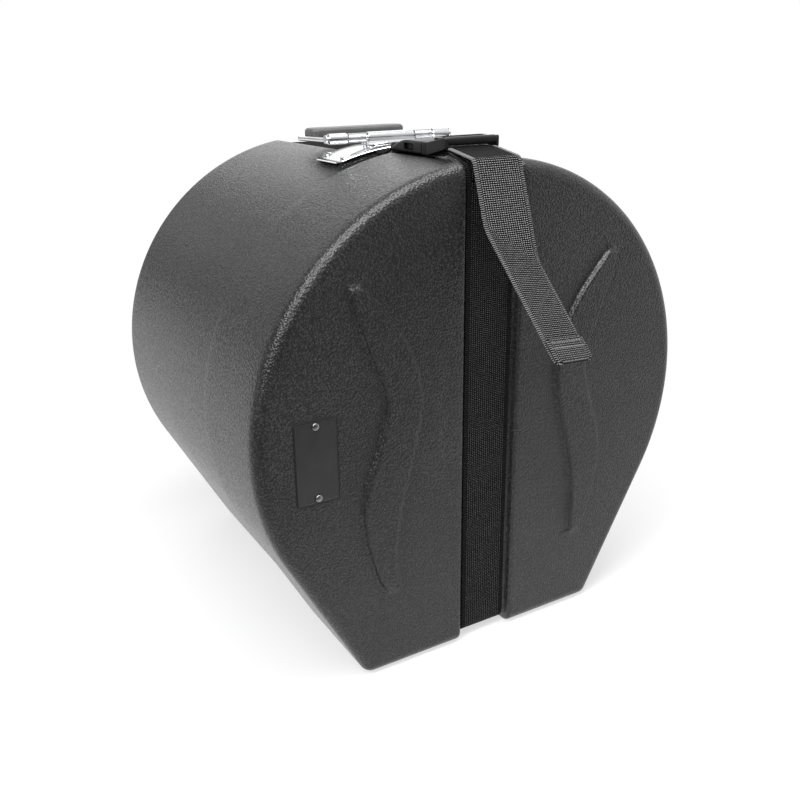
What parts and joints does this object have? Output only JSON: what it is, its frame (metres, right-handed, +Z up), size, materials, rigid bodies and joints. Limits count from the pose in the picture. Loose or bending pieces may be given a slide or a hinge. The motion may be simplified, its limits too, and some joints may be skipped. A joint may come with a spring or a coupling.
{
  "type": "drum case",
  "caption": "Moulded black drum case that stands upright, with a pull-off lid, webbing strap in a channel, side-release buckle and a sprung chromed carry handle",
  "frame": {"origin": "on the ground, midway between the furthest points at left and right, and at front and back", "axes": "+X to the case's right as seen facing its lid, +Y from the lid to the back, +Z up"},
  "size_m": [0.462, 0.498, 0.4816],
  "materials": {
    "moulded polyethylene": "black rotomoulded polyethylene with a fine pebbled grain and a soft sheen",
    "buckle nylon": "black moulded nylon, satin",
    "woven polypropylene": "black flat webbing, ribbed weave",
    "chromed steel": "bright chrome on pressed steel",
    "grip vinyl": "black vinyl, slightly glossy",
    "label plate": "black, bare, with a thin border",
    "zinc steel": "bright zinc plate",
    "foam": "charcoal closed-cell foam"
  },
  "bodies": {
    "case": {"body_end_pad": "foam", "body_shell": "moulded polyethylene", "buckle_socket": "buckle nylon", "cradle_block_left": "foam", "cradle_block_right": "foam", "handle_barrel": "chromed steel", "handle_plate": "chromed steel", "handle_rivet_front_left": "chromed steel", "handle_rivet_front_right": "chromed steel", "handle_rivet_rear_left": "chromed steel", "handle_rivet_rear_right": "chromed steel", "handle_rod": "zinc steel", "handle_rod_keeper": "zinc steel", "handle_spring_left": "zinc steel", "handle_spring_right": "zinc steel", "handle_washer_front_left": "zinc steel", "handle_washer_front_right": "zinc steel", "handle_washer_rear_left": "zinc steel", "handle_washer_rear_right": "zinc steel", "strap_rear_run": "woven polypropylene"},
    "lid": {"label_plate": "label plate", "label_rivet_bottom": "zinc steel", "label_rivet_top": "zinc steel", "lid_end_pad": "foam", "lid_shell": "moulded polyethylene", "strap_front_run": "woven polypropylene"},
    "plug": {"buckle_plug": "buckle nylon", "strap_tail": "woven polypropylene"},
    "prong left": {"buckle_prong_left": "buckle nylon"},
    "prong right": {"buckle_prong_right": "buckle nylon"},
    "handle": {"handle_bail": "chromed steel", "handle_grip": "grip vinyl"}
  },
  "joints": [
    {"name": "lid pulls off", "type": "slide", "parent": "case", "child": "lid", "axis": [0, -1, 0], "range_m": [0, 0.35]},
    {"name": "buckle pulls out", "type": "slide", "parent": "lid", "child": "plug", "axis": [0, -1, 0], "range_m": [0, 0.028]},
    {"name": "left prong squeezes", "type": "hinge", "parent": "plug", "child": "prong left", "pos_m": [-0.01575, -0.06721, 0.4706], "axis": [0, 0, -1], "range_deg": [0, 5], "stiffness_Nm_per_rad": 0.02},
    {"name": "right prong squeezes", "type": "hinge", "parent": "plug", "child": "prong right", "pos_m": [0.01575, -0.06721, 0.4706], "axis": [0, 0, 1], "range_deg": [0, 5], "stiffness_Nm_per_rad": 0.02},
    {"name": "handle lifts", "type": "hinge", "parent": "case", "child": "handle", "pos_m": [0, 0.03749, 0.4735], "axis": [1, 0, 0], "range_deg": [0, 90], "stiffness_Nm_per_rad": 0.25}
  ]
}
